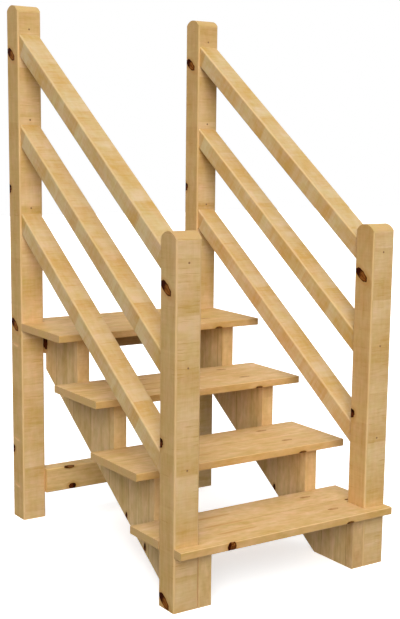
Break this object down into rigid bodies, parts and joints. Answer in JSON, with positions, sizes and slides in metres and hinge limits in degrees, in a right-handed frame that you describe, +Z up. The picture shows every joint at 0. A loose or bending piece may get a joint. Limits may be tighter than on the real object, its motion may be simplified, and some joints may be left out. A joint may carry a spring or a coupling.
{
  "type": "free-standing wooden deck stairs with side railings",
  "caption": "Open-riser wooden deck stairs on two saw-tooth stringers, with square posts and sloping rails on both sides.",
  "frame": {"origin": "on the floor, in the middle of the stairs' outline", "axes": "+Z up, +Y from the lowest tread towards the deck, +X to the right of someone about to climb"},
  "size_m": [0.85, 1.202, 1.889],
  "materials": {
    "post_timber": "planed knotty pine, clear satin finish",
    "rail_timber": "planed knotty pine, clear satin finish",
    "tread_timber": "planed pine, clear satin finish",
    "stringer_timber": "planed pine, clear satin finish",
    "cross_board_timber": "planed knotty pine, clear satin finish"
  },
  "bodies": {
    "root": {"front_post_left": "post_timber", "front_post_right": "post_timber", "rear_post_left": "post_timber", "rear_post_right": "post_timber", "stringer_left": "stringer_timber", "stringer_right": "stringer_timber", "tread_1": "tread_timber", "tread_2": "tread_timber", "tread_3": "tread_timber", "tread_4": "tread_timber", "top_rail_left": "rail_timber", "top_rail_right": "rail_timber", "middle_rail_left": "rail_timber", "middle_rail_right": "rail_timber", "bottom_rail_left": "rail_timber", "bottom_rail_right": "rail_timber", "upper_cross_board": "cross_board_timber", "lower_cross_board": "cross_board_timber"}
  },
  "joints": []
}
